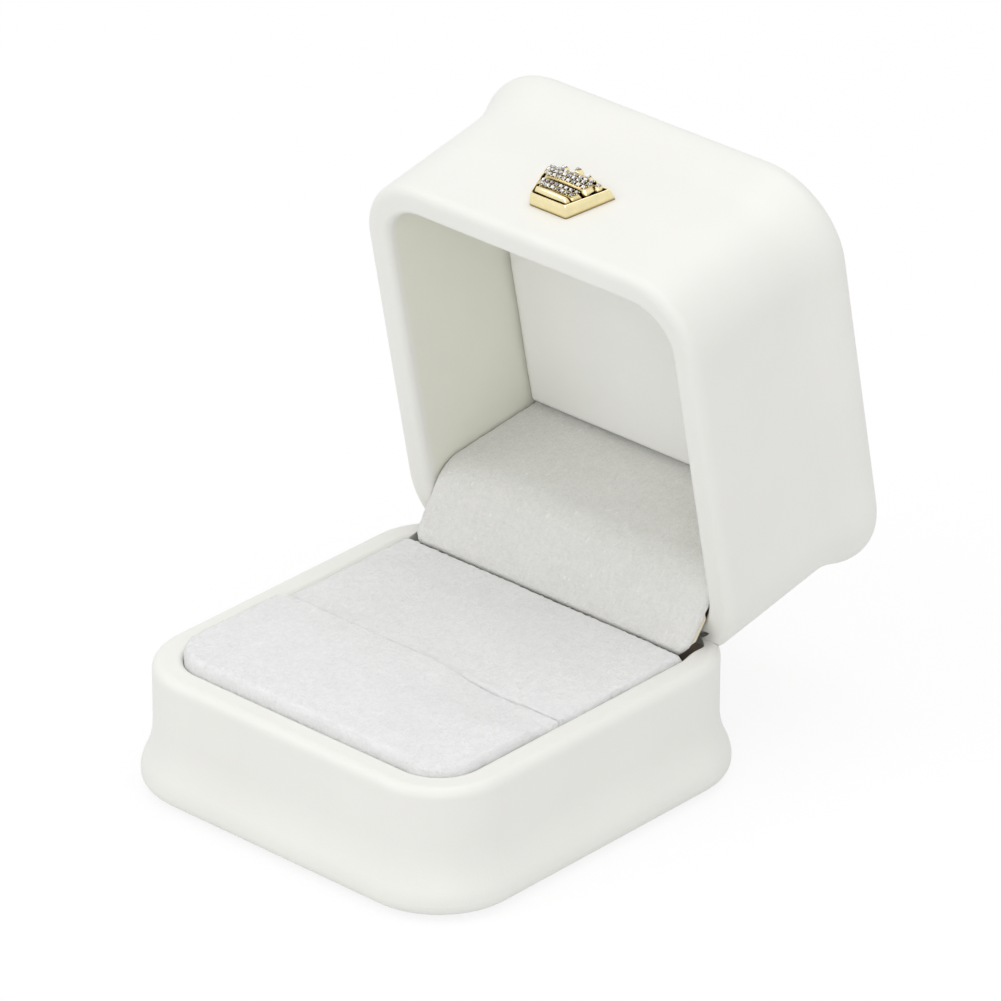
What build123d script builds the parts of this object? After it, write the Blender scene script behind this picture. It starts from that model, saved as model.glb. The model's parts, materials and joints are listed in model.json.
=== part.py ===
from build123d import *
import os
from math import atan, cos, degrees, hypot, radians, sin, tan

# A leatherette ring box with a sprung, hinged lid, standing open.
# The box is 60 mm wide (X), its front faces -Y and it stands on Z = 0.
# Every lid piece is drawn on the shut box and then turned open about the hinge.

# Envelope
WIDTH = 60.0             # across the straight side walls
DEPTH = 62.0             # across the straight front and rear walls
CORNER_R = 10.8          # plan radius of the upright corners
BASE_H = 19.2            # ground to the rim of the base
LID_H = 30.5             # rim of the lid to its top
RIM_GAP = 0.3            # between the two rims when shut
OPEN_DEG = 78.6          # how far the lid stands open
STOP_DEG = 1.5           # each rear bevel is cut this much past half the opening

# Flare of the foot and of the lid's top edge
FLARE = 1.75             # how far the widest line stands out from the wall
FLARE_RISE = 7.5         # from the widest line to the straight wall
FLARE_NOSE_R = 4.9       # convex radius just inside the widest line
FOOT_WIDEST = 2.4        # height of the widest line over the ground
LID_WIDEST = 2.6         # widest line of the lid below its top

# Layers
COVER = 0.8              # leatherette
FOLD = 2.0               # its padded edge, folded inside the rim
WALL = 1.5               # moulded core wall
BASE_FLOOR = 1.5         # core floor
LID_ROOF = 2.2           # core roof
CORE_EDGE_R = 0.7        # outer edge of the core's rim
INNER_EDGE_R = 0.2       # inner edge of the core's rim
LIP_R = 1.0              # inner edge of the padded rim
FELT = 0.6               # sheet under the box
FELT_INSET = 4.0         # felt edge in from the wall line
TURN_UNDER = 6.0         # cover glued under the base
PANEL_SEAM = 0.2         # between the cover's edge and the core's raised panel
BASE_TURN_IN = 8.0       # cover folded into the base
LID_TURN_IN = 1.6        # cover folded into the lid
BASE_TURN_END = 5.6      # the base's folded cover stops this far before the hinge axis
LID_TURN_END = 1.2       # the lid's folded cover stops this far before the hinge axis
LAP = 0.5                # how far parts of one piece run into each other before they join
CUT_OVER = 1.0           # how far a cutting solid stands past what it cuts
CUT_CLEAR = 0.02         # keeps a cutting face off a face of the piece

# Hinge
KNUCKLE_R = 1.5
PIN_R = 0.8
PIN_FIT = 0.05           # radial clearance of the pin
HINGE_LENGTH = 30.0
SIDE_KNUCKLE = 7.0       # length of each base knuckle
KNUCKLE_GAP = 0.3        # between knuckles end to end
LEAF = 0.7               # sheet thickness
LEAF_HEIGHT = 8.0        # plate of each leaf
LEAF_START = 2.0         # plate edge from the axis
RECESS_R = 2.3           # the walls stay this far from the axis beside the knuckles
HINGE_SIDE_GAP = 0.3     # beside the ends of the hinge
PIN_HEAD_R = 1.25
PIN_HEAD = 0.4
RIVET_R = 0.8
RIVET_HEAD_R = 1.3
RIVET_HEAD = 0.5
RIVET_FIT = 0.05
RIVET_PITCH = 11.0
RIVET_DROP = 6.5         # rivet row from the axis
SPRING = 0.3             # detent spring sheet
SPRING_WIDTH = 27.0
SPRING_TONGUE = 9.0      # width of the tongue that bears on the middle knuckle
SPRING_FOOT = 5.0        # height of the riveted foot
SPRING_REACH = 1.25      # the tongue leans this far forward
SPRING_GAP = 0.45        # tongue to knuckle

# Ring cushions
BOARD = 1.0              # cushion board on the core floor
BOARD_FIT = 0.2
VELVET = 0.6
PAD_FIT = 0.2            # cushions to the folded cover
SLOT_WIDTH = 4.4
SLOT_Y = -3.3            # middle of the ring slot
FRONT_PAD_RISE = 2.1     # top of the front cushion over the rim
REAR_PAD_RISE = 0.6      # top of the rear cushion over the rim
PAD_EDGE_R = 2.6
PAD_CORNER_R = 3.2       # upright corners beside the slot
PAD_DOME_R = 480.0       # crown of the cushions
PAD_FLAP_GAP = 0.4       # rear cushion to the path of the flap's edge
REAR_PAD_CUT = 0.5       # cut square this far into its rounded rear edge, against the flap

# Hinge flap, given from the hinge axis on the shut box
FLAP_BOARD = 0.8
FLAP_TIP_IN = 1.2
FLAP_TIP_DROP = 4.65
FLAP_BEND_IN = 8.75
FLAP_BEND_RISE = 3.4
FLAP_BEND_R = 7.0
FLAP_TOP_IN = 6.85
FLAP_TOP_R = 2.0
FLAP_FLANGE = 5.0
FLAP_SIDE_GAP = 0.3
FLAP_TAPER = 0.3         # each side, from the bend to the tip

# Lid cushion
LID_BOARD = 1.0
LID_FOAM = 5.2
SATIN = 0.5
LID_PAD_EDGE_R = 1.6
LID_PAD_CORNER_R = 2.0
LID_DOME_R = 900.0

# Crown ornament on the lid's front
CROWN_FOOT = 6.7         # width at the foot
CROWN_HEAD = 12.0        # width across the outer points
CROWN_HEIGHT = 8.2
CROWN_NOTCH = 1.6        # depth of the notches between the points
CROWN_OUTER_DROP = 0.9   # outer points below the middle one
CROWN_RELIEF = 3.0
CROWN_FACE = 0.8         # size of the front face against the back
CROWN_RISE = 6.0         # foot of the crown over the lid's rim
CROWN_PIN_R = 0.6
CROWN_PIN_X = 1.9
CROWN_PIN_RISE = 4.0     # pins over the crown's foot
CROWN_PIN_SHORT = 0.1    # pins end this far before the core's inner face
WASHER = 0.5
WASHER_R = 1.8
WASHER_POCKET = 0.8      # depth of the washer's pocket in the core
SMALL_FIT = 0.05
STONE_R = 0.48
STONE_FIT = 0.05
STONE_PITCH = 1.18
STONE_SEAT = 0.35
STONE_PROUD = 0.28
STONE_FACET = 0.16
STONE_ROWS = (5, 6, 7, 7)
STONE_ROW_STEP = 1.2
STONE_EDGE = 0.15        # lowest stones over the foot of the face
STONE_POINT_BACK = 1.0   # point stones below the tips
STONE_POINT_IN = 0.92    # spread of the point stones against the tips

# Places worked out from the sizes above
CORE_IN = COVER + WALL
RIM = CORE_IN + FOLD
LINING = FOLD            # padded lining of the lid, level with the folded cover
HINGE_Y = DEPTH / 2 - CORE_IN - KNUCKLE_R
HINGE_Z = BASE_H + RIM_GAP / 2
LID_RIM_Z = BASE_H + RIM_GAP
LID_TOP_Z = LID_RIM_Z + LID_H
BEVEL_DEG = OPEN_DEG / 2 + STOP_DEG
FLOOR_Z = FELT + COVER + BASE_FLOOR
PAD_Z = FLOOR_Z + BOARD
ROOF_Z = LID_TOP_Z - COVER - LID_ROOF
LID_PAD_Z = ROOF_Z - LID_BOARD
SIDE_IN = WIDTH / 2 - RIM
HINGE_AXIS = Axis((0, HINGE_Y, HINGE_Z), (1, 0, 0))
REACH = 2 * (WIDTH + DEPTH)


# ---------------------------------------------------------------- helpers

def plan_plate(inset, low, high):
    """Upright plate with the box's rounded plan, moved in by inset."""
    outline = RectangleRounded(WIDTH - 2 * inset, DEPTH - 2 * inset, CORNER_R - inset)
    return extrude(Plane.XY.offset(low) * outline, high - low)


def block(x, y, z):
    """Box given by its limits along each axis."""
    size = Box(x[1] - x[0], y[1] - y[0], z[1] - z[0])
    return Pos((x[0] + x[1]) / 2, (y[0] + y[1]) / 2, (z[0] + z[1]) / 2) * size


def rod_y(x, z, radius, start, end):
    """Round rod along Y."""
    disc = Plane(origin=(x, start, z), x_dir=(1, 0, 0), z_dir=(0, 1, 0)) * Circle(radius)
    return extrude(disc, end - start)


def rod_x(radius, start, end):
    """Round rod along the hinge axis."""
    disc = Plane(origin=(start, HINGE_Y, HINGE_Z), x_dir=(0, 1, 0), z_dir=(1, 0, 0)) * Circle(radius)
    return extrude(disc, end - start)


def wall_point(out, height):
    """Point of a wall section, out from the side wall's line."""
    return Vector(WIDTH / 2 + out, 0, height)


def wall_arc(out, height, radius, start, end):
    """Arc of a wall section about a centre, between two angles."""
    points = []
    for angle in (start, (start + end) / 2, end):
        turn = radians(angle)
        points.append(wall_point(out + radius * cos(turn), height + radius * sin(turn)))
    return ThreePointArc(*points)


def around_box(section):
    """Sweep a wall section round the rounded plan."""
    hx = WIDTH / 2
    hy = DEPTH / 2
    cx = hx - CORNER_R
    cy = hy - CORNER_R
    path = [
        Line((hx, 0), (hx, cy)),
        CenterArc((cx, cy), CORNER_R, 0, 90),
        Line((cx, hy), (-cx, hy)),
        CenterArc((-cx, cy), CORNER_R, 90, 90),
        Line((-hx, cy), (-hx, -cy)),
        CenterArc((-cx, -cy), CORNER_R, 180, 90),
        Line((-cx, -hy), (cx, -hy)),
        CenterArc((cx, -cy), CORNER_R, 270, 90),
        Line((hx, -cy), (hx, 0)),
    ]
    return sweep(section, path=Wire(path))


def skin_edges(inset, height, panel, widest, turn_in):
    """The outer surface (inset 0) or the core's (COVER), from under the end panel to inside the rim."""
    bend = 2 * atan(FLARE / FLARE_RISE)
    hollow_r = FLARE_RISE / sin(bend) - FLARE_NOSE_R
    foot_r = widest - panel
    rim_r = COVER + CORE_EDGE_R
    lip_in = CORE_IN if inset else RIM
    lip_r = INNER_EDGE_R if inset else LIP_R
    lip_z = height - inset - lip_r
    wall_start = widest + FLARE_RISE
    angle = degrees(bend)
    return [
        Line(wall_point(-TURN_UNDER, panel + inset), wall_point(FLARE - foot_r, panel + inset)),
        wall_arc(FLARE - foot_r, widest, foot_r - inset, -90, 0),
        wall_arc(FLARE - FLARE_NOSE_R, widest, FLARE_NOSE_R - inset, 0, angle),
        wall_arc(hollow_r, wall_start, hollow_r + inset, 180 + angle, 180),
        Line(wall_point(-inset, wall_start), wall_point(-inset, height - rim_r)),
        wall_arc(-rim_r, height - rim_r, rim_r - inset, 0, 90),
        Line(wall_point(-rim_r, height - inset), wall_point(lip_r - lip_in, height - inset)),
        wall_arc(lip_r - lip_in, lip_z, lip_r, 90, 180),
        Line(wall_point(-lip_in, lip_z), wall_point(-lip_in, height - turn_in)),
    ]


def cover_ring(height, panel, widest, turn_in):
    """The cover's skin all round, from its edge under the panel to its edge inside."""
    outer = skin_edges(0, height, panel, widest, turn_in)
    inner = skin_edges(COVER, height, panel, widest, turn_in)
    ends = [
        Line(wall_point(-TURN_UNDER, panel), wall_point(-TURN_UNDER, panel + COVER)),
        Line(wall_point(-RIM, height - turn_in), wall_point(-CORE_IN, height - turn_in)),
    ]
    return around_box(make_face(outer + inner + ends))


def core_ring(height, panel, widest, turn_in, floor):
    """The moulded core's wall, with a strip of its floor."""
    inner_floor = panel + COVER + floor
    reach = TURN_UNDER + LAP
    edges = skin_edges(COVER, height, panel, widest, turn_in)
    edges.append(Line(wall_point(-CORE_IN, height - turn_in), wall_point(-CORE_IN, inner_floor)))
    edges.append(Line(wall_point(-CORE_IN, inner_floor), wall_point(-reach, inner_floor)))
    edges.append(Line(wall_point(-reach, inner_floor), wall_point(-reach, panel + COVER)))
    edges.append(Line(wall_point(-reach, panel + COVER), wall_point(-TURN_UNDER, panel + COVER)))
    return around_box(make_face(edges))


def to_lid(shape):
    """Turn a shell drawn panel down into the shut lid, rim down."""
    return Pos(0, 0, LID_TOP_Z) * mirror(shape, about=Plane.XY)


def opened(shape):
    """Turn a piece of the shut lid to where the lid stands open."""
    return shape.rotate(HINGE_AXIS, -OPEN_DEG)


def bevel_wedge(depth, side):
    """What the rear bevel takes away above the base (side 1) or below the lid (side -1)."""
    slope = radians(BEVEL_DEG)
    start = -depth / sin(slope)
    far = REACH / 2
    corners = [
        (start, 0),
        (far, -depth / cos(slope) - far * tan(slope)),
        (far, far),
        (start, far),
    ]
    points = []
    for y, z in corners:
        points.append((HINGE_Y + y, HINGE_Z + side * z))
    face = make_face(Polyline(*points, close=True).edges())
    return extrude(Plane.YZ * face, REACH, both=True)


def hinge_recess():
    """Round recess in the rear walls for the knuckles."""
    end = HINGE_LENGTH / 2 + PIN_HEAD + HINGE_SIDE_GAP
    return rod_x(RECESS_R, -end, end)


def rivet_places(side):
    """Where the rivets of a leaf go, as (x, z)."""
    places = []
    for step in (-1, 0, 1):
        places.append((step * RIVET_PITCH, HINGE_Z - side * RIVET_DROP))
    return places


def rivet_holes(side):
    """Holes for the rivets through leaf and core wall."""
    holes = Part()
    for x, z in rivet_places(side):
        holes += rod_y(x, z, RIVET_R + RIVET_FIT, HINGE_Y - KNUCKLE_R, DEPTH / 2 - COVER)
    return holes


def rounded_at(form, y, radius):
    """Round the upright edges of a plate that stand at one Y."""
    return fillet(form.edges().filter_by(Axis.Z).filter_by_position(Axis.Y, y - 0.01, y + 0.01), radius)


def pad_form(plan, middle, top, edge_r, dome_r):
    """Crown a cushion's plan plate with a shallow dome and round its upper edges."""
    form = plan & Pos(0, middle, top - dome_r) * Sphere(dome_r)
    top_face = form.faces().sort_by(Axis.Z)[-1]
    return fillet(top_face.edges(), edge_r)


# ---------------------------------------------------------------- base

def base_shells():
    """Core and cover of the base, with the rear bevel and the hinge recess."""
    core = core_ring(BASE_H, FELT, FOOT_WIDEST, BASE_TURN_IN, BASE_FLOOR)
    core += plan_plate(TURN_UNDER + PANEL_SEAM, FELT, FLOOR_Z)
    cover = cover_ring(BASE_H, FELT, FOOT_WIDEST, BASE_TURN_IN)
    inside = plan_plate(CORE_IN - CUT_CLEAR, FLOOR_Z, BASE_H + CUT_OVER)
    turn_end = HINGE_Y - BASE_TURN_END
    cover -= inside & block((-SIDE_IN, SIDE_IN), (turn_end, REACH), (FLOOR_Z, BASE_H + CUT_OVER))
    cover = with_bevel(cover, core, 1)
    core = core - bevel_wedge(COVER, 1) - hinge_recess() - rivet_holes(1)
    return core, cover


def with_bevel(cover, core, side):
    """Carry the cover down the rear bevel, over the cut core."""
    layer = core & (bevel_wedge(COVER, side) - bevel_wedge(0, side))
    return (cover - bevel_wedge(0, side)) + layer - hinge_recess()


def underside_felt():
    return plan_plate(FELT_INSET, 0, FELT)


def cushion_board():
    return plan_plate(CORE_IN + BOARD_FIT, FLOOR_Z, PAD_Z)


def front_pad(inset):
    """Front ring cushion, its outer surface moved in by inset."""
    back = SLOT_Y - SLOT_WIDTH / 2 - inset
    top = BASE_H + FRONT_PAD_RISE - inset
    plan = plan_plate(RIM + PAD_FIT + inset, PAD_Z, top)
    plan = rounded_at(plan & block((-REACH, REACH), (-REACH, back), (PAD_Z, top)), back, PAD_CORNER_R - inset)
    return pad_form(plan, back / 2 - DEPTH / 4, top, PAD_EDGE_R - inset, PAD_DOME_R)


def rear_pad(inset):
    """Rear ring cushion, clear of the path of the flap's edge."""
    front = SLOT_Y + SLOT_WIDTH / 2 + inset
    back = HINGE_Y - hypot(FLAP_TIP_IN, FLAP_TIP_DROP) - PAD_FLAP_GAP - inset
    top = BASE_H + REAR_PAD_RISE - inset
    far = back + REAR_PAD_CUT
    side = SIDE_IN - PAD_FIT - inset
    plan = block((-side, side), (front, far), (PAD_Z, top))
    plan = rounded_at(plan, front, PAD_CORNER_R - inset)
    plan = rounded_at(plan, far, PAD_CORNER_R - inset)
    form = pad_form(plan, (front + far) / 2, top, PAD_EDGE_R - inset, PAD_DOME_R)
    return form & block((-side, side), (front, back), (PAD_Z, top))


# ---------------------------------------------------------------- hinge

def leaf_section(side, knuckle):
    """Section of a hinge leaf, from its plate's free edge to its knuckle or short of it."""
    back = KNUCKLE_R
    front = KNUCKLE_R - LEAF
    end = LEAF_START + LEAF_HEIGHT
    if not knuckle:
        plate = Polyline((front, -LEAF_START), (back, -LEAF_START), (back, -end), (front, -end), close=True)
        face = make_face(plate.edges())
    else:
        meet = -((KNUCKLE_R ** 2 - front ** 2) ** 0.5)
        edges = [
            Line((back, 0), (back, -end)),
            Line((back, -end), (front, -end)),
            Line((front, -end), (front, meet)),
            ThreePointArc((front, meet), (-KNUCKLE_R, 0), (0, KNUCKLE_R)),
            ThreePointArc((0, KNUCKLE_R), (KNUCKLE_R * cos(radians(45)), KNUCKLE_R * sin(radians(45))), (back, 0)),
        ]
        face = make_face(edges) - Circle(PIN_R + PIN_FIT)
    plane = Plane(origin=(0, HINGE_Y, HINGE_Z), x_dir=(0, 1, 0), z_dir=(1, 0, 0))
    shape = plane * face
    if side < 0:
        shape = mirror(shape, about=Plane.XY.offset(HINGE_Z))
    return shape


def along_x(face, start, end):
    """Section drawn out along X between two limits."""
    moved = Pos(start, 0, 0) * face
    return extrude(moved, end - start, dir=(1, 0, 0))


def base_leaf():
    half = HINGE_LENGTH / 2
    inner = half - SIDE_KNUCKLE
    leaf = along_x(leaf_section(1, False), -inner, inner)
    leaf += along_x(leaf_section(1, True), -half, -inner)
    leaf += along_x(leaf_section(1, True), inner, half)
    return leaf - rivet_holes(1)


def lid_leaf():
    half = HINGE_LENGTH / 2
    inner = half - SIDE_KNUCKLE - KNUCKLE_GAP
    leaf = along_x(leaf_section(-1, False), -half, -inner)
    leaf += along_x(leaf_section(-1, True), -inner, inner)
    leaf += along_x(leaf_section(-1, False), inner, half)
    return leaf - rivet_holes(-1)


def hinge_pin():
    half = HINGE_LENGTH / 2
    pin = rod_x(PIN_R, -half - PIN_HEAD, half + PIN_HEAD)
    pin += rod_x(PIN_HEAD_R, -half - PIN_HEAD, -half)
    pin += rod_x(PIN_HEAD_R, half, half + PIN_HEAD)
    return pin


def rivets(side, seat_y):
    """Three rivets, headed on seat_y and flush in the core wall."""
    group = Part()
    for x, z in rivet_places(side):
        rivet = rod_y(x, z, RIVET_R, seat_y, DEPTH / 2 - COVER)
        rivet += rod_y(x, z, RIVET_HEAD_R, seat_y - RIVET_HEAD, seat_y)
        group += rivet
    return group


def detent_spring():
    """Riveted foot with a tongue that leans under the middle knuckle."""
    seat = HINGE_Y + KNUCKLE_R - LEAF
    middle = HINGE_Z - RIVET_DROP
    top = middle + SPRING_FOOT / 2
    half = SPRING_WIDTH / 2
    foot = block((-half, half), (seat - SPRING, seat), (middle - SPRING_FOOT / 2, top))
    tip_z = HINGE_Z - KNUCKLE_R - SPRING_GAP
    tongue = Polyline(
        (seat, top - SPRING),
        (seat, top),
        (seat - SPRING_REACH, tip_z),
        (seat - SPRING_REACH - SPRING, tip_z),
        (seat - SPRING, top),
        (seat - SPRING, top - SPRING),
        close=True,
    )
    side = SPRING_TONGUE / 2
    foot += extrude(Plane.YZ * make_face(tongue.edges()), side, both=True)
    return foot - rivet_holes(1)


# ---------------------------------------------------------------- lid

def lid_shells():
    """Core and cover of the shut lid."""
    core = core_ring(LID_H, 0, LID_WIDEST, LID_TURN_IN, LID_ROOF)
    core += plan_plate(TURN_UNDER, COVER, COVER + LID_ROOF)
    cover = cover_ring(LID_H, 0, LID_WIDEST, LID_TURN_IN)
    cover += plan_plate(TURN_UNDER - LAP, 0, COVER)
    core = to_lid(core)
    cover = to_lid(cover)
    low = LID_RIM_Z - CUT_OVER
    inside = plan_plate(CORE_IN - CUT_CLEAR, low, ROOF_Z)
    turn_end = HINGE_Y - LID_TURN_END
    cover -= inside & block((-REACH, REACH), (turn_end, REACH), (low, ROOF_Z))
    cover = with_bevel(cover, core, -1)
    core = core - bevel_wedge(COVER, -1) - hinge_recess() - rivet_holes(-1)
    cover -= crown_holes(CROWN_PIN_R + SMALL_FIT, -DEPTH / 2, CORE_IN)
    core -= crown_holes(CROWN_PIN_R + SMALL_FIT, -DEPTH / 2, CORE_IN)
    pocket = -DEPTH / 2 + CORE_IN - WASHER_POCKET
    core -= crown_holes(WASHER_R + SMALL_FIT, pocket, WASHER_POCKET)
    return core, cover


def lid_lining():
    """Lining of the lid's walls, from the folded cover to the roof."""
    low = LID_RIM_Z + LID_TURN_IN
    lining = plan_plate(CORE_IN, low, ROOF_Z) - plan_plate(CORE_IN + LINING, low, ROOF_Z)
    half = HINGE_LENGTH / 2 + HINGE_SIDE_GAP
    front = HINGE_Y - KNUCKLE_R - HINGE_SIDE_GAP
    leaf_top = HINGE_Z + LEAF_START + LEAF_HEIGHT + HINGE_SIDE_GAP
    return lining - block((-half, half), (front, REACH), (low, leaf_top))


def lid_board():
    inset = CORE_IN + LINING + BOARD_FIT
    return plan_plate(inset, LID_PAD_Z, ROOF_Z)


def lid_pad(inset):
    """Cushion on the roof, drawn face up and turned over."""
    depth = LID_FOAM + SATIN - inset
    back = flap_front_y(LID_PAD_Z - LID_FOAM - SATIN) - FLAP_SIDE_GAP - inset
    plan = plan_plate(CORE_IN + LINING + PAD_FIT + inset, 0, depth)
    plan = rounded_at(plan & block((-REACH, REACH), (-REACH, back), (0, depth)), back, LID_PAD_CORNER_R - inset)
    form = pad_form(plan, 0, depth, LID_PAD_EDGE_R - inset, LID_DOME_R)
    return Pos(0, 0, LID_PAD_Z) * mirror(form, about=Plane.XY)


# ---------------------------------------------------------------- flap

def flap_path():
    """Front face of the flap as (y, z), from its free edge to the flange under the board."""
    tip = (HINGE_Y - FLAP_TIP_IN, HINGE_Z - FLAP_TIP_DROP)
    bend = (HINGE_Y - FLAP_BEND_IN, HINGE_Z + FLAP_BEND_RISE)
    top = (HINGE_Y - FLAP_TOP_IN, LID_PAD_Z)
    flange = (HINGE_Y - FLAP_TOP_IN + FLAP_FLANGE, LID_PAD_Z)
    return [tip, bend, top, flange]


def flap_front_y(z):
    """Y of the flap's long run at a height."""
    bend, top = flap_path()[1:3]
    return bend[0] + (top[0] - bend[0]) * (z - bend[1]) / (top[1] - bend[1])


def moved_path(path, depth):
    """The path moved to its rear side by depth."""
    normals = []
    for (y0, z0), (y1, z1) in zip(path, path[1:]):
        length = hypot(y1 - y0, z1 - z0)
        normals.append(((z1 - z0) / length, (y0 - y1) / length))
    first = [normals[0]] + normals
    second = normals + [normals[-1]]
    moved = []
    for (y, z), a, b in zip(path, first, second):
        share = depth / (1 + a[0] * b[0] + a[1] * b[1])
        moved.append((y + (a[0] + b[0]) * share, z + (a[1] + b[1]) * share))
    return moved


def flap_layer(start, end):
    """One layer of the flap, between two depths behind its front face."""
    path = flap_path()
    front = moved_path(path, start)
    rear = moved_path(path, end)
    edges = list(FilletPolyline(*front, radius=[FLAP_BEND_R - start, FLAP_TOP_R - start]).edges())
    edges += list(FilletPolyline(*rear, radius=[FLAP_BEND_R - end, FLAP_TOP_R - end]).edges())
    edges.append(Line(front[0], rear[0]))
    edges.append(Line(front[-1], rear[-1]))
    half = SIDE_IN - FLAP_SIDE_GAP
    layer = extrude(Plane.YZ * make_face(edges), half, both=True)
    return layer & flap_outline(half)


def flap_outline(half):
    """Where the flap may be: tapered to its tip and clear of the rounded corners."""
    tip = flap_path()[0]
    bend = flap_path()[1]
    slope = FLAP_TAPER / (bend[1] - tip[1])
    low = tip[1] - CUT_OVER
    low_half = half - slope * (bend[1] - low)
    front = Polyline(
        (-low_half, low),
        (low_half, low),
        (half, bend[1]),
        (half, ROOF_Z),
        (-half, ROOF_Z),
        (-half, bend[1]),
        close=True,
    )
    taper = extrude(Plane.XZ * make_face(front.edges()), REACH, both=True)
    corners = plan_plate(RIM + FLAP_SIDE_GAP, HINGE_Z, ROOF_Z)
    corners += plan_plate(CORE_IN + FLAP_SIDE_GAP, low, HINGE_Z)
    return taper & corners


# ---------------------------------------------------------------- crown

def crown_plane(depth):
    """Plane parallel to the lid's front, with its origin at the crown's foot."""
    origin = (0, -DEPTH / 2 - depth, LID_RIM_Z + CROWN_RISE)
    return Plane(origin=origin, x_dir=(1, 0, 0), z_dir=(0, -1, 0))


def crown_tips():
    """The five points of the crown, as (x, z)."""
    tips = []
    for step in (2, 1, 0, -1, -2):
        x = step * CROWN_HEAD / 4
        tips.append((x, CROWN_HEIGHT - CROWN_OUTER_DROP * abs(step) / 2))
    return tips


def crown_outline(scale):
    """Band, flared sides and points, shrunk about the middle."""
    points = [(-CROWN_FOOT / 2, 0), (CROWN_FOOT / 2, 0)]
    tips = crown_tips()
    for tip, following in zip(tips, tips[1:]):
        points.append(tip)
        middle = (tip[0] + following[0]) / 2
        points.append((middle, CROWN_HEIGHT - CROWN_NOTCH))
    points.append(tips[-1])
    centre = CROWN_HEIGHT / 2
    shrunk = []
    for x, z in points:
        shrunk.append((x * scale, centre + (z - centre) * scale))
    return make_face(Polyline(*shrunk, close=True).edges())


def crown_holes(radius, start, length):
    """Rods at the two crown pins, from start inward."""
    z = LID_RIM_Z + CROWN_RISE + CROWN_PIN_RISE
    rods = rod_y(-CROWN_PIN_X, z, radius, start, start + length)
    rods += rod_y(CROWN_PIN_X, z, radius, start, start + length)
    return rods


def stone_rows():
    """Places of the stones on the crown's face: lower rows, upper rows and points."""
    centre = CROWN_HEIGHT / 2
    foot = centre - centre * CROWN_FACE
    groups = {"lower": [], "upper": [], "points": []}
    for row, count in enumerate(STONE_ROWS):
        z = foot + STONE_EDGE + STONE_R + row * STONE_ROW_STEP
        name = "lower" if row < 2 else "upper"
        for index in range(count):
            groups[name].append(((index - (count - 1) / 2) * STONE_PITCH, z))
    for x, z in crown_tips():
        face_z = centre + (z - centre) * CROWN_FACE
        groups["points"].append((x * CROWN_FACE * STONE_POINT_IN, face_z - STONE_POINT_BACK))
    return groups


def stone_group(places, radius, proud):
    """Round stones, or their seats, in the crown's face."""
    group = Part()
    for x, z in places:
        disc = crown_plane(CROWN_RELIEF - STONE_SEAT) * Pos(x, z) * Circle(radius)
        group += extrude(disc, STONE_SEAT + proud)
    return group


def crown_stones(places):
    stones = stone_group(places, STONE_R, STONE_PROUD)
    table = -DEPTH / 2 - CROWN_RELIEF - STONE_PROUD
    edges = stones.edges().filter_by_position(Axis.Y, table - 0.01, table + 0.01)
    return chamfer(edges, STONE_FACET)


def crown_body():
    back = crown_plane(0) * crown_outline(1.0)
    face = crown_plane(CROWN_RELIEF) * crown_outline(CROWN_FACE)
    body = loft([back, face], ruled=True)
    for places in stone_rows().values():
        body -= stone_group(places, STONE_R + STONE_FIT, CUT_OVER)
    pin_end = CORE_IN - CROWN_PIN_SHORT
    return body + crown_holes(CROWN_PIN_R, -DEPTH / 2, pin_end)


def crown_washers():
    start = -DEPTH / 2 + CORE_IN - WASHER_POCKET
    discs = crown_holes(WASHER_R, start, WASHER)
    return discs - crown_holes(CROWN_PIN_R + SMALL_FIT, start, WASHER)


# ---------------------------------------------------------------- assembly

def main():
    base_core, base_cover = base_shells()
    lid_core, lid_cover = lid_shells()
    spring_face = HINGE_Y + KNUCKLE_R - LEAF - SPRING
    leaf_face = HINGE_Y + KNUCKLE_R - LEAF
    base = {
        "base_core": base_core,
        "base_cover": base_cover,
        "underside_felt": underside_felt(),
        "cushion_board": cushion_board(),
        "front_cushion_foam": front_pad(VELVET),
        "front_cushion_velvet": front_pad(0) - front_pad(VELVET),
        "rear_cushion_foam": rear_pad(VELVET),
        "rear_cushion_velvet": rear_pad(0) - rear_pad(VELVET),
        "base_hinge_leaf": base_leaf(),
        "base_hinge_rivets": rivets(1, spring_face),
        "hinge_pin": hinge_pin(),
        "detent_spring": detent_spring(),
    }
    lid = {
        "lid_core": lid_core,
        "lid_cover": lid_cover,
        "lid_lining": lid_lining(),
        "lid_pad_board": lid_board(),
        "lid_pad_foam": lid_pad(SATIN),
        "lid_pad_satin": lid_pad(0) - lid_pad(SATIN),
        "flap_board": flap_layer(VELVET, VELVET + FLAP_BOARD),
        "flap_velvet": flap_layer(0, VELVET),
        "lid_hinge_leaf": lid_leaf(),
        "lid_hinge_rivets": rivets(-1, leaf_face),
        "crown_body": crown_body(),
        "crown_washers": crown_washers(),
    }
    for name, places in stone_rows().items():
        lid["crown_stones_" + name] = crown_stones(places)
    os.makedirs("parts", exist_ok=True)
    for name, shape in base.items():
        export_step(shape, "parts/" + name + ".step")
    for name, shape in lid.items():
        export_step(opened(shape), "parts/" + name + ".step")


main()
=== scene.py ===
import json
import math

import bpy
import numpy as np
from mathutils import Matrix, Vector
from mathutils import noise as mathutils_noise


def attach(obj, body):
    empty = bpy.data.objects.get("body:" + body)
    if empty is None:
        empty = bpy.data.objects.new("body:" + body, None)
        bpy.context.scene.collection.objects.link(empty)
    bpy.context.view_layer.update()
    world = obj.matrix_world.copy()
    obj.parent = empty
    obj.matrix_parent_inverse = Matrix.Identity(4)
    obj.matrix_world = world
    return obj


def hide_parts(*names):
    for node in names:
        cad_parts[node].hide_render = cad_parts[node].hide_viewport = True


# Looks of the hinged ring box. All mesh building is in millimetres of the shut box;
# make_piece() turns it into metres and, for the lid, swings it open.

MM = 0.001

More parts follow.
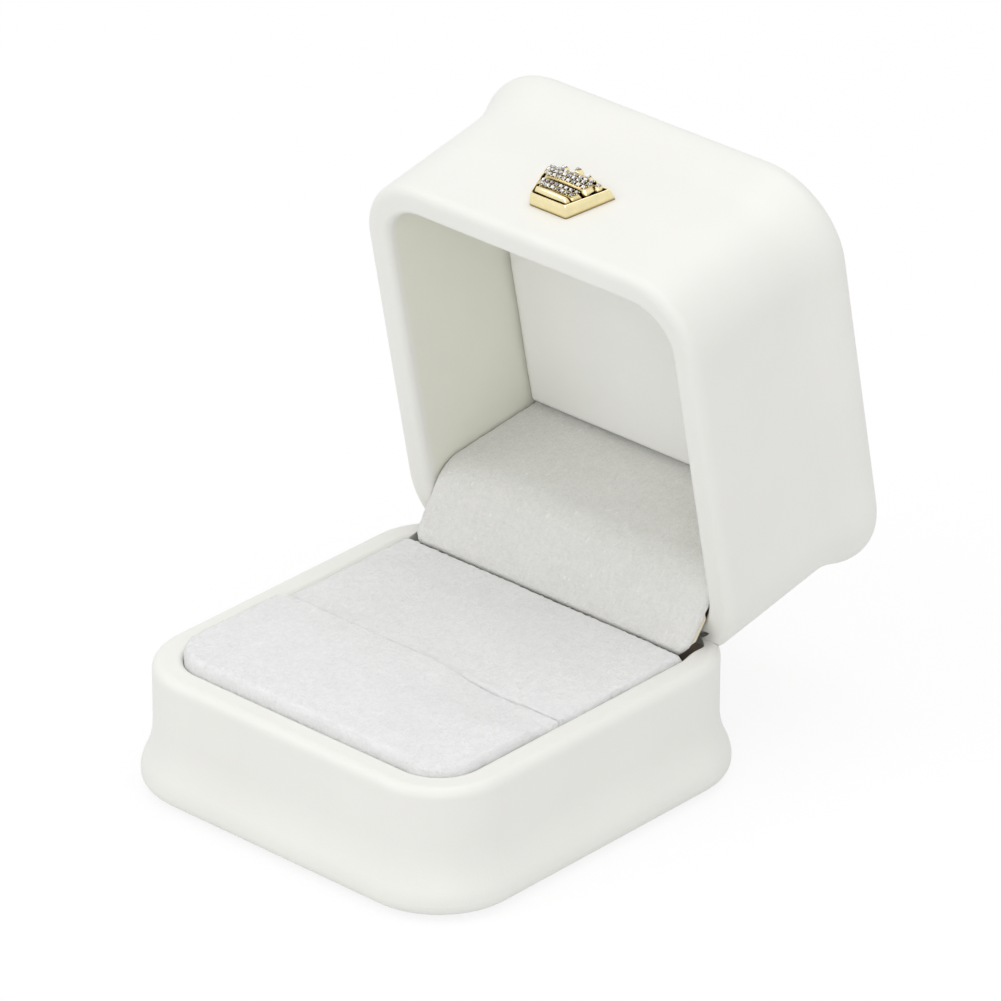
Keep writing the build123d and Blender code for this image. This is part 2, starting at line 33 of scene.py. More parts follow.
# Unseeded, noise_vector() starts from the clock and the nap differs from run to run.
NOISE_SEED = 7
mathutils_noise.seed_set(NOISE_SEED)

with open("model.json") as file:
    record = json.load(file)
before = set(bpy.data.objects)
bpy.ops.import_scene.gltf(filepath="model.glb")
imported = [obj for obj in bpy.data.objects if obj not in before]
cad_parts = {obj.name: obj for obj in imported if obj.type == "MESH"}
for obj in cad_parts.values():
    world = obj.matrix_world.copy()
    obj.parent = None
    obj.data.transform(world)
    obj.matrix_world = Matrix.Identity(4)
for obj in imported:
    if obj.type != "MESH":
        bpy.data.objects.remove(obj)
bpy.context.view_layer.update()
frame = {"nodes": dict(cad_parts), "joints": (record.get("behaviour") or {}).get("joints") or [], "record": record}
nodes = frame["nodes"]
hinge = frame["joints"][0]
HINGE = Vector(hinge["pos_m"]) / MM
OPEN = math.radians(hinge["range_deg"][1])


# ---------------------------------------------------------------- placing

def lid_turn():
    """Matrix that swings a point of the shut lid, in millimetres, to the open lid."""
    there = Matrix.Translation(HINGE)
    return there @ Matrix.Rotation(-OPEN, 4, "X") @ there.inverted()


def add_object(name, data):
    """A new object in the scene."""
    added = bpy.data.objects.new(name, data)
    bpy.context.scene.collection.objects.link(added)
    return added


def make_piece(name, points, faces, body, material, smooth=True):
    """Mesh piece in millimetres of the shut box, riding on a body."""
    mesh = bpy.data.meshes.new(name)
    turn = lid_turn() if body == "lid" else Matrix.Identity(4)
    matrix = np.array(Matrix.Scale(MM, 4) @ turn)
    points = np.asarray(points, float)
    moved = points @ matrix[:3, :3].T + matrix[:3, 3]
    mesh.from_pydata([tuple(p) for p in moved], [], faces)
    mesh.validate()
    mesh.update()
    piece = add_object(name, mesh)
    mesh.materials.append(material)
    if smooth:
        mesh.shade_smooth()
    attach(piece, body)
    return piece


# ---------------------------------------------------------------- materials

class Nodes:
    """Small builder for a material's node tree."""

    def __init__(self, name):
        self.material = bpy.data.materials.new(name)
        self.material.use_nodes = True
        self.tree = self.material.node_tree
        self.shader = self.tree.nodes["Principled BSDF"]
        self.place = self.new("ShaderNodeTexCoord").outputs["Object"]

    def new(self, kind, **values):
        """A node of a kind, with its settings."""
        node = self.tree.nodes.new(kind)
        for key, value in values.items():
            setattr(node, key, value)
        return node

    def link(self, source, target):
        """Link one socket to another."""
        self.tree.links.new(source, target)

    def set(self, **values):
        """Uniform values on the shader's own sockets, spaces in names written as _."""
        for key, value in values.items():
            self.shader.inputs[key.replace("_", " ")].default_value = value

    def stretched(self, scale):
        """Object coordinates scaled apart along each axis."""
        mapping = self.new("ShaderNodeMapping")
        mapping.inputs["Scale"].default_value = scale
        self.link(self.place, mapping.inputs["Vector"])
        return mapping.outputs["Vector"]

    def noise(self, per_mm, detail, roughness=0.5, vector=None):
        """Noise with so many features to a millimetre."""
        node = self.new("ShaderNodeTexNoise")
        node.inputs["Scale"].default_value = per_mm / MM
        node.inputs["Detail"].default_value = detail
        node.inputs["Roughness"].default_value = roughness
        self.link(vector or self.place, node.inputs["Vector"])
        return node.outputs["Fac"]

    def cells(self, per_mm):
        """Cells with so many to a millimetre."""
        node = self.new("ShaderNodeTexVoronoi", feature="F1")
        node.inputs["Scale"].default_value = per_mm / MM
        self.link(self.place, node.inputs["Vector"])
        return node.outputs["Distance"]

    def ramp(self, source, stops):
        """Colour ramp from (position, colour) stops."""
        node = self.new("ShaderNodeValToRGB")
        ramp = node.color_ramp
        ramp.elements[0].position = stops[0][0]
        ramp.elements[0].color = (*stops[0][1], 1)
        ramp.elements[1].position = stops[-1][0]
        ramp.elements[1].color = (*stops[-1][1], 1)
        for position, colour in stops[1:-1]:
            ramp.elements.new(position).color = (*colour, 1)
        self.link(source, node.inputs["Fac"])
        return node.outputs["Color"]

    def spread(self, source, low, high):
        """A 0 to 1 value spread between two values."""
        node = self.new("ShaderNodeMapRange")
        node.inputs["To Min"].default_value = low
        node.inputs["To Max"].default_value = high
        self.link(source, node.inputs["Value"])
        return node.outputs["Result"]

    def plain(self, value):
        """A steady value."""
        node = self.new("ShaderNodeValue")
        node.outputs[0].default_value = value
        return node.outputs[0]

    def tone(self, colour):
        """A steady colour."""
        node = self.new("ShaderNodeRGB")
        node.outputs[0].default_value = (*colour, 1)
        return node.outputs[0]

    def hollows(self, reach_mm):
        """1 on open surfaces, falling towards 0 deep in grooves."""
        node = self.new("ShaderNodeAmbientOcclusion", samples=8)
        node.inputs["Distance"].default_value = reach_mm * MM
        return node.outputs["AO"]

    def mix(self, fac, one, two):
        """Mix of two colours by a value."""
        node = self.new("ShaderNodeMix", data_type="RGBA")
        self.link(fac, node.inputs["Factor"])
        self.link(one, node.inputs["A"])
        self.link(two, node.inputs["B"])
        return node.outputs["Result"]

    def times(self, one, two):
        """One colour multiplied by another."""
        node = self.new("ShaderNodeMix", data_type="RGBA", blend_type="MULTIPLY")
        node.inputs["Factor"].default_value = 1.0
        self.link(one, node.inputs["A"])
        self.link(two, node.inputs["B"])
        return node.outputs["Result"]

    def bump(self, height, depth_mm, strength, under=None):
        """Bump of a real depth, on top of another bump."""
        node = self.new("ShaderNodeBump")
        node.inputs["Strength"].default_value = strength
        node.inputs["Distance"].default_value = depth_mm * MM
        self.link(height, node.inputs["Height"])
        if under is not None:
            self.link(under, node.inputs["Normal"])
        return node.outputs["Normal"]

    def finish(self, colour, roughness, normal=None):
        """Link what varies over the surface and hand the material over."""
        self.link(colour, self.shader.inputs["Base Color"])
        if roughness is not None:
            self.link(roughness, self.shader.inputs["Roughness"])
        if normal is not None:
            self.link(normal, self.shader.inputs["Normal"])
        return self.material


def shade(colour, factor):
    """A colour made lighter or darker."""
    return tuple(min(1.0, c * factor) for c in colour)


def shades(colour, *stops):
    """Ramp stops from (position, factor) pairs on one colour."""
    return [(position, shade(colour, factor)) for position, factor in stops]


def leatherette(name, colour, roughness=0.46):
    """Smooth split-grain leatherette: faint pebbles, pores and handling marks."""
    n = Nodes(name)
    tone = n.noise(0.06, 4.0)
    tint = n.ramp(tone, shades(colour, (0.3, 0.985), (0.7, 1.012)))
    pebbles = n.cells(2.6)
    creases = n.noise(0.9, 6.0, 0.62)
    pores = n.noise(7.0, 2.0, 0.6)
    normal = n.bump(pebbles, 0.012, 0.55)
    normal = n.bump(creases, 0.03, 0.35, normal)
    normal = n.bump(pores, 0.006, 0.5, normal)
    rough = n.spread(n.noise(0.4, 4.0), roughness - 0.05, roughness + 0.07)
    n.set(Specular_IOR_Level=0.42, Coat_Weight=0.06, Coat_Roughness=0.38, Sheen_Weight=0.06)
    return n.finish(tint, rough, normal)


def velvet(name, colour, sheen=0.55):
    """Short brushed nap: tufts, fine fibres, lint and brushed patches under a soft sheen."""
    n = Nodes(name)
    patches = n.noise(0.16, 5.0, 0.62)
    tint = n.ramp(patches, shades(colour, (0.32, 0.955), (0.5, 1.0), (0.72, 1.03)))
    tufts = n.noise(1.5, 4.0, 0.72, n.stretched((1.0, 0.6, 1.0)))
    mottled = n.ramp(tufts, shades(colour, (0.36, 0.86), (0.62, 1.07)))
    blended = n.mix(n.plain(0.34), tint, mottled)
    fibres = n.noise(4.0, 4.0, 0.75, n.stretched((0.55, 1.0, 1.0)))
    fleck = n.ramp(fibres, shades(colour, (0.38, 0.84), (0.6, 1.08)))
    blended = n.mix(n.plain(0.22), blended, fleck)
    lint = n.noise(0.9, 2.0, 0.5, n.stretched((2.6, 0.5, 1.4)))
    strand = n.ramp(lint, [(0.66, (0, 0, 0)), (0.72, (1, 1, 1))])
    blended = n.mix(strand, blended, n.tone(shade(colour, 1.09)))
    normal = n.bump(tufts, 0.34, 0.6)
    normal = n.bump(fibres, 0.22, 0.9, normal)
    normal = n.bump(lint, 0.2, 0.3, normal)
    n.set(Roughness=0.95, Specular_IOR_Level=0.12, Sheen_Weight=sheen, Sheen_Roughness=0.42)
    return n.finish(blended, None, normal)


def satin(name, colour):
    """Close satin cloth: very fine ribs one way and soft tonal drift."""
    n = Nodes(name)
    drift = n.noise(0.05, 3.0)
    tint = n.ramp(drift, shades(colour, (0.3, 0.975), (0.7, 1.015)))
    threads = n.noise(4.5, 3.0, 0.6, n.stretched((0.18, 1.0, 1.0)))
    normal = n.bump(threads, 0.03, 0.5)
    n.set(Specular_IOR_Level=0.35, Sheen_Weight=0.25, Sheen_Roughness=0.3, Anisotropic=0.35)
    return n.finish(tint, n.spread(threads, 0.5, 0.66), normal)


def board(name, colour):
    """Pale card with flecks and fibres."""
    n = Nodes(name)
    flecks = n.noise(3.0, 5.0, 0.7, n.stretched((1.0, 0.4, 1.0)))
    tint = n.ramp(flecks, shades(colour, (0.35, 0.86), (0.65, 1.08)))
    n.set(Specular_IOR_Level=0.2)
    return n.finish(tint, n.spread(flecks, 0.8, 0.95), n.bump(flecks, 0.05, 0.5))


def moulded(name, colour):
    """Moulded core: fine spark texture."""
    n = Nodes(name)
    grit = n.noise(6.0, 3.0, 0.7)
    tone = n.noise(0.08, 3.0)
    tint = n.ramp(tone, shades(colour, (0.3, 0.94), (0.7, 1.05)))
    n.set(Specular_IOR_Level=0.4)
    return n.finish(tint, n.spread(grit, 0.5, 0.7), n.bump(grit, 0.02, 0.5))


def metal(name, colour, roughness, brushed):
    """Brushed metal with a little tone and wear."""
    n = Nodes(name)
    wear = n.noise(0.7, 5.0, 0.65)
    tint = n.ramp(wear, shades(colour, (0.3, 0.93), (0.7, 1.04)))
    lines = n.noise(6.0, 3.0, 0.6, n.stretched((0.1, 1.0, 1.0)))
    n.set(Metallic=1.0, Anisotropic=0.4 * brushed)
    rough = n.spread(wear, roughness - 0.05, roughness + 0.08)
    return n.finish(tint, rough, n.bump(lines, 0.01 + 0.02 * brushed, 0.25 + 0.4 * brushed))


def gold_with_painted_shade(name, colour, roughness):
    """Polished gold plate, with painted shade that darkens it to near black in its crevices and hollows."""
    n = Nodes(name)
    wear = n.noise(0.7, 5.0, 0.65)
    polish = n.ramp(wear, shades(colour, (0.3, 0.93), (0.7, 1.04)))
    # Painted shade: ambient occlusion darkens the gold towards black deep in grooves and recesses.
    painted_crevice_shade = [(0.3, (0.03, 0.022, 0.012)), (0.62, (0.36, 0.27, 0.13)), (0.9, (1, 1, 1))]
    tint = n.times(polish, n.ramp(n.hollows(0.7), painted_crevice_shade))
    scratches = n.noise(5.0, 3.0, 0.6)
    n.set(Metallic=1.0)
    rough = n.spread(wear, roughness - 0.05, roughness + 0.08)
    return n.finish(tint, rough, n.bump(scratches, 0.012, 0.3))


def crystal(name):
    """Clear cut stones, with painted glints and painted dark reflections speckled over their colour."""
    n = Nodes(name)
    tone = n.noise(1.6, 1.0)
    # Painted light: noise spreads dark reflections and bright glints over the stones' colour.
    lights = [(0.42, (0.05, 0.045, 0.04)), (0.5, (0.48, 0.47, 0.45)), (0.58, (0.95, 0.95, 0.96))]
    tint = n.ramp(tone, lights)
    n.set(IOR=1.9, Transmission_Weight=0.25, Specular_IOR_Level=0.7)
    return n.finish(tint, n.spread(tone, 0.02, 0.08))


def felt(name, colour):
    """Pressed felt of matted fibres."""
    n = Nodes(name)
    fibres = n.noise(3.2, 6.0, 0.8)
    tint = n.ramp(fibres, shades(colour, (0.35, 0.85), (0.65, 1.08)))
    normal = n.bump(fibres, 0.2, 0.8)
    n.set(Roughness=0.97, Specular_IOR_Level=0.1, Sheen_Weight=0.4, Sheen_Roughness=0.5)
    return n.finish(tint, None, normal)


LEATHER = (0.845, 0.842, 0.805)
VELVET = (0.935, 0.945, 0.94)
FLAP_TONE = (0.87, 0.865, 0.84)
SATIN_TONE = (0.93, 0.93, 0.90)
LINING_TONE = (0.82, 0.82, 0.735)
CORE_TONE = (0.74, 0.63, 0.53)
CARD_TONE = (0.80, 0.74, 0.60)
FELT_TONE = (0.62, 0.61, 0.58)
GOLD = (0.92, 0.81, 0.49)
HINGE_STEEL = (0.72, 0.71, 0.69)
WASHER_STEEL = (0.66, 0.66, 0.67)

finishes = {
    "core": moulded("core", CORE_TONE),
    "leatherette": leatherette("leatherette", LEATHER),
    "felt": felt("felt", FELT_TONE),
    "card": board("card", CARD_TONE),
    "velvet": velvet("velvet", VELVET),
    "satin": satin("satin", SATIN_TONE),
    "lining": leatherette("lining", LINING_TONE, 0.5),
    "hinge_steel": metal("hinge_steel", HINGE_STEEL, 0.3, 1.0),
    "gold": gold_with_painted_shade("gold", GOLD, 0.16),
    "washer_steel": metal("washer_steel", WASHER_STEEL, 0.35, 0.5),
    "crystal": crystal("crystal"),
}
flap_velvet_finish = velvet("flap_velvet", FLAP_TONE, 0.4)


def dress_frame():
    """Give every CAD node that stays the finish of its slot."""
    for entry in frame["record"]["subparts"]:
        finish = finishes.get(entry["material_slot"])
        if finish is None:
            continue
        piece = nodes[entry["node"]]
        piece.data.materials.clear()
        piece.data.materials.append(finish)


# ---------------------------------------------------------------- pads

# Two opposite corners of each pad, its plan radii at (-x -y, +x -y, -x +y, +x +y), its edge
# roundings at (x sides, -y side, +y side) and the rise of its middle. The lid's is upside down.
FRONT_LOW = (-25.62, -26.62, 3.9)
FRONT_HIGH = (25.62, -3.70, 21.3)
FRONT_RADII = (6.3, 6.3, 2.2, 0.0)
FRONT_EDGES = (0.8, 0.8, 0.6)
FRONT_DOME = 0.45
FRONT_NAP_SEED = 3.0
REAR_LOW = (-25.62, -3.50, 3.9)
REAR_HIGH = (25.62, 21.75, 19.8)
REAR_RADII = (2.2, 0.0, 1.0, 1.0)
REAR_EDGES = (0.8, 0.5, 1.1)
REAR_DOME = 0.3
REAR_NAP_SEED = 11.0
REAR_SWELL_SEED = 9.0
LID_PAD_LOW = (-25.55, -26.6, -46.0)
LID_PAD_HIGH = (25.55, 19.6, -40.3)
LID_PAD_RADII = (6.3, 6.3, 0.6, 0.6)
LID_PAD_EDGES = (1.3, 1.3, 1.3)
LID_PAD_DOME = 0.35
LID_PAD_SWELL_SEED = 4.0
DOME_POWER = 0.7
RIPPLE = 0.05
CLOTH_STEP = 0.36
SATIN_STEP = 0.5
WALL_STEP = 1.2

NAP_DEPTH = 0.13
NAP_PER_MM = 1.9
NAP_BOTTOM = 8.0
FRAY = 1.9
FRONT_FRAY_BELOW = 20.5
REAR_FRAY_BELOW = 19.3

# Where the front cushion sinks, how far, and between which x and y it eases in.
SINK_AT_SLIT = 1.35
SLIT_EASE_X = (2.0, 14.0)
SLIT_EASE_Y = (-17.0, -4.5)
SINK_AT_RIM = 0.7
RIM_EASE_X = (15.0, 25.6)

# Where the two cushions meet, and how near an edge has to be to be pressed to the seam.
SEAM_Y = -3.6
SEAM_LEVEL = 19.5
SEAM_EASE_X = (16.0, 20.0)
SEAM_EASE_Y = (0.3, 1.1)
SEAM_DEEP = 1.2
SEAM_NEAR = 0.15


def corner_radius(x, y, radii):
    """The plan radius of the corner that a point is nearest to."""
    return radii[(1 if x > 0 else 0) + (2 if y > 0 else 0)]


def rounded_point(x, y, half_x, half_y, radii):
    """Move a point of a rectangle's grid into the rectangle with rounded corners."""
    radius = corner_radius(x, y, radii)
    out_x = abs(x) - (half_x - radius)
    out_y = abs(y) - (half_y - radius)
    if out_x <= 0 or out_y <= 0 or radius <= 0:
        return x, y
    scale = max(out_x, out_y) / math.hypot(out_x, out_y)
    new_x = half_x - radius + out_x * scale
    new_y = half_y - radius + out_y * scale
    return math.copysign(new_x, x), math.copysign(new_y, y)


def edge_distance(x, y, half_x, half_y, radii):
    """How far a point of the plan is inside its rounded edge."""
    radius = corner_radius(x, y, radii)
    out_x = abs(x) - (half_x - radius)
    out_y = abs(y) - (half_y - radius)
    outside = math.hypot(max(out_x, 0), max(out_y, 0))
    inside = min(max(out_x, out_y), 0)
    return radius - outside - inside


def grid_rim(rows, columns):
    """Indices around the edge of a grid of points that run row by row."""
    width = columns + 1
    rim = list(range(width))
    rim += [row * width + columns for row in range(1, rows + 1)]
    rim += [rows * width + column for column in range(columns - 1, -1, -1)]
    rim += [row * width for row in range(rows - 1, 0, -1)]
    return rim


def quarter_drop(edge, inside):
    """How far a rounded edge has dropped at a distance inside it."""
    if inside >= edge:
        return 0.0
    return edge - math.sqrt(max(0.0, edge ** 2 - (edge - inside) ** 2))


def pad_mesh(low, high, radii, edges, dome, step, seed=0.0):
    """Crowned pad between two corners: a fine grid on top, rounded edges and straight sides."""
    centre_x = (low[0] + high[0]) / 2
    centre_y = (low[1] + high[1]) / 2
    half_x = (high[0] - low[0]) / 2
    half_y = (high[1] - low[1]) / 2
    count_x = int(2 * half_x / step)
    count_y = int(2 * half_y / step)
    points = []
    for row in range(count_y + 1):
        for column in range(count_x + 1):
            gx = ease(column / count_x) * half_x
            gy = ease(row / count_y) * half_y
            x, y = rounded_point(gx, gy, half_x, half_y, radii)
            inside = edge_distance(x, y, half_x, half_y, radii)
            edge_y = edges[1] if y < 0 else edges[2]
            share = side_share(x, y, half_x, half_y)
            edge = edges[0] * share + edge_y * (1 - share)
            flat = (1 - (x / half_x) ** 2) * (1 - (y / half_y) ** 2)
            z = high[2] - dome - quarter_drop(edge, inside) + dome * max(0.0, flat) ** DOME_POWER
            z += RIPPLE * wave(x + seed, y - seed)
            points.append((centre_x + x, centre_y + y, z))
    faces = []
    width = count_x + 1
    for row in range(count_y):
        for column in range(count_x):
            a = row * width + column
            faces.append((a, a + 1, a + width + 1, a + width))
    add_walls(points, faces, grid_rim(count_y, count_x), low[2])
    return points, faces


def ease(share):
    """-1 to 1, closer together towards both ends."""
    t = share * 2 - 1
    return 0.72 * t + 0.28 * math.sin(t * math.pi / 2)


def side_share(x, y, half_x, half_y):
    """1 beside an x side of the plan, 0 beside a y side, smooth between."""
    near_x = half_x - abs(x)
    near_y = half_y - abs(y)
    return near_y ** 2 / max(near_x ** 2 + near_y ** 2, 1e-9)


def wave(x, y):
    """Slow uneven swell of a stuffed surface, about -1 to 1."""
    bent = math.sin(0.31 * x + 0.7 * math.sin(0.17 * y))
    slanted = math.sin(0.41 * y + 0.23 * x + 1.3)
    return 0.5 * bent + 0.5 * slanted


def add_walls(points, faces, rim, low_z):
    """Straight walls from a rim loop down to a level, closed underneath."""
    top_z = min(points[i][2] for i in rim)
    rows = max(2, int((top_z - low_z) / WALL_STEP))
    loop = rim
    for row in range(1, rows + 1):
        share = row / rows
        following = []
        for index in rim:
            x, y, z = points[index]
            following.append(len(points))
            points.append((x, y, z + (low_z - z) * share))
        for k in range(len(loop)):
            j = (k + 1) % len(loop)
            faces.append((loop[k], following[k], following[j], loop[j]))
        loop = following
    faces.append(tuple(loop))


def flipped(points, faces):
    """The same form upside down."""
    turned = [(x, y, -z) for x, y, z in points]
    return turned, [tuple(reversed(face)) for face in faces]


def ruffled(point, depth, per_mm, seed):
    """A point moved along its own noise vector."""
    x, y, z = point
    at = Vector((x * per_mm + seed, y * per_mm - seed, z * per_mm))
    fine = mathutils_noise.noise_vector(at)
    return (x + depth * fine.x, y + depth * fine.y, z + depth * fine.z)


def cushion_nap(points, seed, fray_below):
    """Uneven nap on a cushion's upper part, deeper on its frayed edge."""
    moved = []
    for point in points:
        depth = NAP_DEPTH * FRAY if point[2] < fray_below else NAP_DEPTH
        moved.append(point if point[2] < NAP_BOTTOM else ruffled(point, depth, NAP_PER_MM, seed))
    return moved


def smooth_step(value, low, high):
    """0 below low, 1 above high, eased between."""
    t = min(1.0, max(0.0, (value - low) / (high - low)))
    return t * t * (3 - 2 * t)


def settled(x, y):
    """How far the front cushion has sunk: level with the rear one at the slit's right end."""
    beside_slit = SINK_AT_SLIT * smooth_step(x, *SLIT_EASE_X) * smooth_step(y, *SLIT_EASE_Y)
    beside_rim = SINK_AT_RIM * smooth_step(x, *RIM_EASE_X)
    return max(beside_slit, beside_rim)


def closed_seam(points):
    """Press the two cushions' facing edges together and level at the slit's right end."""
    closed = []
    for x, y, z in points:
        near = 1 - smooth_step(abs(y - SEAM_Y), *SEAM_EASE_Y)
        share = smooth_step(x, *SEAM_EASE_X) * near
        if z > SEAM_LEVEL - SEAM_DEEP:
            z += (SEAM_LEVEL - z) * share
        if abs(y - SEAM_Y) < SEAM_NEAR:
            y += (SEAM_Y - y) * share
        closed.append((x, y, z))
    return closed


def held_inside(points, low, high, radius):
    """Keep a frayed edge within the pad's own outline, rounded at its front corners."""
    kept = []
    for x, y, z in points:
        x = min(max(x, low[0]), high[0])
        y = min(max(y, low[1]), high[1])
        out_x = abs(x) - (high[0] - radius)
        out_y = low[1] + radius - y
        reach = math.hypot(out_x, out_y)
        if out_x > 0 and out_y > 0 and reach > radius:
            x = math.copysign(high[0] - radius + out_x * radius / reach, x)
            y = low[1] + radius - out_y * radius / reach
        kept.append((x, y, z))
    return kept


def build_pads():
    """The two cushions of the base and the satin pad of the lid."""
    points, faces = pad_mesh(
        FRONT_LOW, FRONT_HIGH, FRONT_RADII, FRONT_EDGES, FRONT_DOME, CLOTH_STEP)
    points = cushion_nap(points, FRONT_NAP_SEED, FRONT_FRAY_BELOW)
    points = [(x, y, z - settled(x, y) * (z > FRONT_LOW[2])) for x, y, z in points]
    points = held_inside(closed_seam(points), FRONT_LOW, FRONT_HIGH, FRONT_RADII[0])
    front = make_piece("front_cushion", points, faces,
                       "base", finishes["velvet"])
    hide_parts("front_cushion_foam", "front_cushion_velvet")
    points, faces = pad_mesh(
        REAR_LOW, REAR_HIGH, REAR_RADII, REAR_EDGES, REAR_DOME, CLOTH_STEP, REAR_SWELL_SEED)
    points = cushion_nap(closed_seam(points), REAR_NAP_SEED, REAR_FRAY_BELOW)
    points = held_inside(points, REAR_LOW, REAR_HIGH, 0.0)
    rear = make_piece("rear_cushion", points, faces,
                      "base", finishes["velvet"])
    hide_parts("rear_cushion_foam", "rear_cushion_velvet")
    points, faces = flipped(*pad_mesh(
        LID_PAD_LOW, LID_PAD_HIGH, LID_PAD_RADII, LID_PAD_EDGES, LID_PAD_DOME,
        SATIN_STEP, LID_PAD_SWELL_SEED))
    pad = make_piece("lid_pad", points, faces, "lid", finishes["satin"])
    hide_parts("lid_pad_foam", "lid_pad_satin")


# ---------------------------------------------------------------- flap

# The flap's profile as (y, z) corners, each with its bend radius.
FLAP_PATH = [((26.55, 14.11), 0.0), ((18.45, 22.75), 7.0),
             ((20.35, 46.0), 2.0), ((25.35, 46.0), 0.0)]
FLAP_HALF = 25.5
FLAP_TAPER = 0.35
FLAP_CLIP_IN = 1.05
FLAP_CLIP_RUN = 1.4
FLAP_THICK = 0.6
FLAP_ACROSS = 148
FLAP_ROLL = 0.55
FLAP_SWELL = 0.1
FLAP_SWELL_EDGE = 3
FLAP_NAP = 0.08
FLAP_NAP_PER_MM = 1.8
FLAP_NAP_SEED = 21.0
BEND_STEPS = 12


def fillet_path(stops, step):
    """Points along straight runs joined by arcs, evenly spaced."""
    corners = [np.array(p, float) for p, _ in stops]
    line = [corners[0]]
    for before, (corner, radius), after in zip(corners, stops[1:-1], corners[2:]):
        corner = np.array(corner, float)
        into = (corner - before) / np.linalg.norm(corner - before)
        out = (after - corner) / np.linalg.norm(after - corner)
        turn = math.acos(max(-1.0, min(1.0, float(into @ out))))
        back = radius * math.tan(turn / 2)
        start = corner - into * back
        side = 1.0 if into[0] * out[1] - into[1] * out[0] > 0 else -1.0
        normal = side * np.array([-into[1], into[0]])
        centre = start + normal * radius
        for k in range(BEND_STEPS + 1):
            angle = turn * k / BEND_STEPS
            offset = -normal * math.cos(angle) + into * math.sin(angle)
            line.append(centre + offset * radius)
    line.append(corners[-1])
    line = np.array(line)
    runs = np.linalg.norm(np.diff(line, axis=0), axis=1)
    travelled = np.concatenate([[0], np.cumsum(runs)])
    count = int(travelled[-1] / step)
    at = np.linspace(0, travelled[-1], count + 1)
    return np.stack([np.interp(at, travelled, line[:, i]) for i in (0, 1)], axis=1), at


def flap_half_width(distance, taper_run):
    """Half the flap's width at a distance from its tip, with clipped corners at the tip."""
    clipped = FLAP_CLIP_IN * max(0.0, 1 - distance / FLAP_CLIP_RUN)
    return FLAP_HALF - clipped - FLAP_TAPER * max(0.0, 1 - distance / taper_run)


def build_flap():
    """Velvet face of the card flap that hides the hinge, wrapped over the card's edges."""
    path, at = fillet_path(FLAP_PATH, CLOTH_STEP)
    along = np.gradient(path, axis=0)
    along /= np.linalg.norm(along, axis=1)[:, None]
    normals = np.stack([-along[:, 1], along[:, 0]], axis=1)
    taper_run = math.dist(FLAP_PATH[0][0], FLAP_PATH[1][0])
    face, back = [], []
    for spot, normal, distance in zip(path, normals, at):
        half = flap_half_width(distance, taper_run)
        for j in range(FLAP_ACROSS + 1):
            x = half * ease(j / FLAP_ACROSS)
            edge = min(half - abs(x), distance)
            swell = FLAP_SWELL * wave(x + 2.0, distance * 1.3)
            lift = swell * min(1.0, edge / FLAP_SWELL_EDGE) - quarter_drop(FLAP_ROLL, edge)
            outer = (x, spot[0] + normal[0] * lift, spot[1] + normal[1] * lift)
            face.append(ruffled(outer, FLAP_NAP, FLAP_NAP_PER_MM, FLAP_NAP_SEED))
            back.append((x, spot[0] - normal[0] * FLAP_THICK, spot[1] - normal[1] * FLAP_THICK))
    points = face + back
    count = len(face)
    faces = []
    width = FLAP_ACROSS + 1
    cells = len(path) - 1
    for row in range(cells):
        for j in range(FLAP_ACROSS):
            a = row * width + j
            faces.append((a, a + width, a + width + 1, a + 1))
            b = a + count
            faces.append((b, b + 1, b + width + 1, b + width))
    loop = grid_rim(cells, FLAP_ACROSS)
    for k, a in enumerate(loop):
        b = loop[(k + 1) % len(loop)]
        faces.append((a, b, b + count, a + count))
    flap = make_piece("hinge_flap", points, faces, "lid", flap_velvet_finish)
    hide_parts("flap_velvet")


# ---------------------------------------------------------------- crown

CROWN_Y = -31.0
CROWN_Z = 25.5
CROWN_TIPS = ((6.0, 7.3), (3.0, 7.75), (0.0, 8.2), (-3.0, 7.75), (-6.0, 7.3))
CROWN_HALF = 6.0
CROWN_FOOT = 3.35
CROWN_VALLEY = 6.6
CROWN_BOW = 1.1
CROWN_BEVEL = 0.04

# Levels of the shell: depth, and how far in from the sides, the foot and the points.
SHELL_LEVELS = (
    (0.0, 0.0, 0.0, 0.0), (0.4, 0.02, 0.02, 0.02), (1.2, 0.16, 0.14, 0.22),
    (1.8, 0.3, 0.25, 0.4), (1.98, 0.4, 0.35, 0.5), (2.0, 0.52, 0.47, 0.62),
    (1.85, 0.66, 0.6, 0.74), (0.7, 0.74, 0.68, 0.82))
SHELL_BOW = 0.25
SHELL_SOFT = 0.35
SHELL_SOFT_STEPS = 4
VALLEY_SHARE = 0.6

# Bands of the setting: lower and upper z, half widths there, depth, arch and rise.
BANDS = ((0.75, 1.7, 2.9, 3.2, 1.9, 0.1, 0.9),
         (1.85, 3.55, 3.35, 3.7, 1.9, 0.3, 0.75),
         (3.8, 6.1, 3.95, 4.3, 2.1, 0.3, 1.05))
BAND_STEPS = 28
BAND_ARC_STEPS = 12
BAND_ROOT = 1.2
BAND_THIN = 0.25
BAND_THIN_FROM = 0.85
BAND_THIN_RUN = 0.15

# Rows of stones: z, count, half width and depth.
STONE_ROWS = ((2.35, 8, 3.15, 2.72), (3.15, 8, 3.35, 2.72), (4.2, 9, 3.75, 3.22),
              (4.95, 10, 3.95, 3.3), (5.7, 9, 3.85, 3.2))
STONE_R = 0.34
STONE_ARCH = 0.3
STONE_HEIGHT = 0.24
STONE_FIT = 0.94
FACETS = 8

# Rings of a stone: share of its radius, level and twist, from the table to the pavilion.
STONE_RINGS = ((0.52, 1.0, 0.0), (0.82, 0.62, 0.5), (1.0, 0.2, 0.0), (1.0, 0.05, 0.0),
               (0.35, -0.7, 0.0))
GRAIN_R = 0.11
GRAIN_OUT = 0.05
GRAIN_LEVELS = (0.0, 0.4, 0.75, 0.95)

